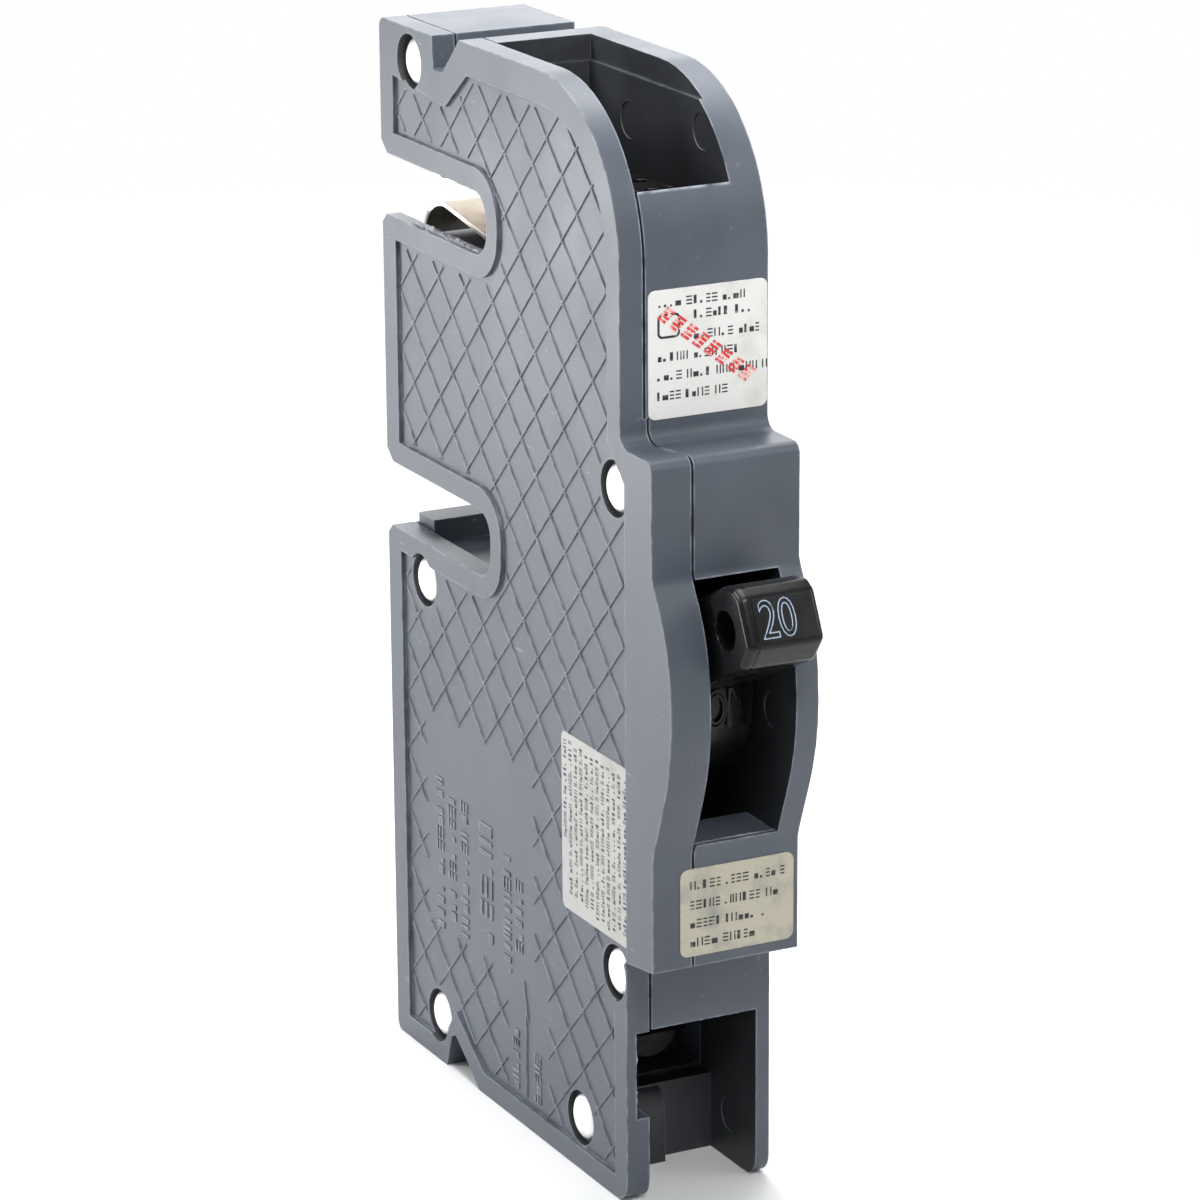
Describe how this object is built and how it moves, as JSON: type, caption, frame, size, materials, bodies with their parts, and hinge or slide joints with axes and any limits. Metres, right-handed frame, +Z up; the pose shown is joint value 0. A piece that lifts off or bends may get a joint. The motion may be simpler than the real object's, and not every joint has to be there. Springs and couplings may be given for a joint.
{
  "type": "plug-on circuit breaker",
  "caption": "Slim single-pole plug-on circuit breaker: riveted two-part case with bus slots, toggle handle, linked contact arm, trip unit and screw lug.",
  "frame": {"origin": "centre of the bounding box's bottom face, with the breaker standing on its wire end", "axes": "+Z up the long side, -Y out of the handle side, +Y towards the bus side, +X from the riveted cover to the deep case half"},
  "size_m": [0.019, 0.0832, 0.1323],
  "materials": {
    "case": "semi-gloss moulded blue-grey thermoset, scuffed along the edges",
    "black_plastic": "glossy black moulding",
    "rivet_metal": "bright satin rivet",
    "steel": "zinc-plated steel",
    "spring_steel": "drawn spring wire",
    "tinned_clip": "tinned copper alloy strip with a champagne tone",
    "copper": "rolled copper",
    "contact_silver": "silver alloy",
    "bimetal_strip": "rolled bimetal",
    "lug_metal": "tin-plated aluminium",
    "fibre": "vulcanised fibre sheet",
    "paper_label": "off-white printed paper",
    "foil_label": "silver-beige printed foil"
  },
  "bodies": {
    "case": {"case_base": "case", "case_cover": "case", "handle_pin": "steel", "arm_pin": "steel", "fixed_contact": "contact_silver", "line_strap": "copper", "bus_clip": "tinned_clip", "arc_chute_frame": "fibre", "vent_grille": "black_plastic", "trip_lever_pin": "steel", "toggle_spring": "spring_steel", "bimetal": "bimetal_strip", "magnet_yoke": "steel", "armature_spring": "spring_steel", "calibration_screw": "steel", "flexible_braid": "copper", "load_strap": "copper", "load_lug": "lug_metal", "label_front_upper": "paper_label", "label_front_lower": "foil_label", "label_side": "paper_label", "rivet_top": "rivet_metal", "rivet_front_upper": "rivet_metal", "rivet_back_middle": "rivet_metal", "rivet_front_lower": "rivet_metal", "rivet_back_lower": "rivet_metal", "rivet_bottom": "rivet_metal", "arc_plate_1": "steel", "arc_plate_2": "steel", "arc_plate_3": "steel", "arc_plate_4": "steel", "arc_plate_5": "steel"},
    "handle": {"handle": "black_plastic"},
    "contact_arm": {"contact_arm": "copper", "moving_contact": "contact_silver"},
    "trip_lever": {"trip_lever": "steel"},
    "armature": {"armature": "steel"},
    "lug_screw": {"lug_screw": "steel"},
    "clamp_plate": {"clamp_plate": "steel"}
  },
  "joints": [
    {"name": "handle_swing", "type": "hinge", "parent": "case", "child": "handle", "pos_m": [0, -0.01175, 0.062], "axis": [1, 0, 0], "range_deg": [0, 52]},
    {"name": "contact_swing", "type": "hinge", "parent": "case", "child": "contact_arm", "pos_m": [0, 0.00425, 0.072], "axis": [1, 0, 0], "range_deg": [0, 16]},
    {"name": "trip_lever_release", "type": "hinge", "parent": "case", "child": "trip_lever", "pos_m": [0, -0.00675, 0.039], "axis": [1, 0, 0], "range_deg": [0, 16]},
    {"name": "armature_tilt", "type": "hinge", "parent": "case", "child": "armature", "pos_m": [0, 0.02365, 0.0565], "axis": [1, 0, 0], "range_deg": [0, 3.5], "stiffness_Nm_per_rad": 0.01},
    {"name": "lug_screw_turn", "type": "hinge", "parent": "case", "child": "lug_screw", "pos_m": [0.0009, -0.008, 0.0156], "axis": [0, 1, 0], "range_deg": [0, 1080]},
    {"name": "clamp_travel", "type": "slide", "parent": "case", "child": "clamp_plate", "axis": [0, 1, 0], "range_m": [0, 0.0039]}
  ],
  "couplings": [
    {"joint": "contact_swing", "follows": "handle_swing", "ratio": 0.307},
    {"joint": "clamp_travel", "follows": "lug_screw_turn", "m_per_rad": 0.0002}
  ]
}
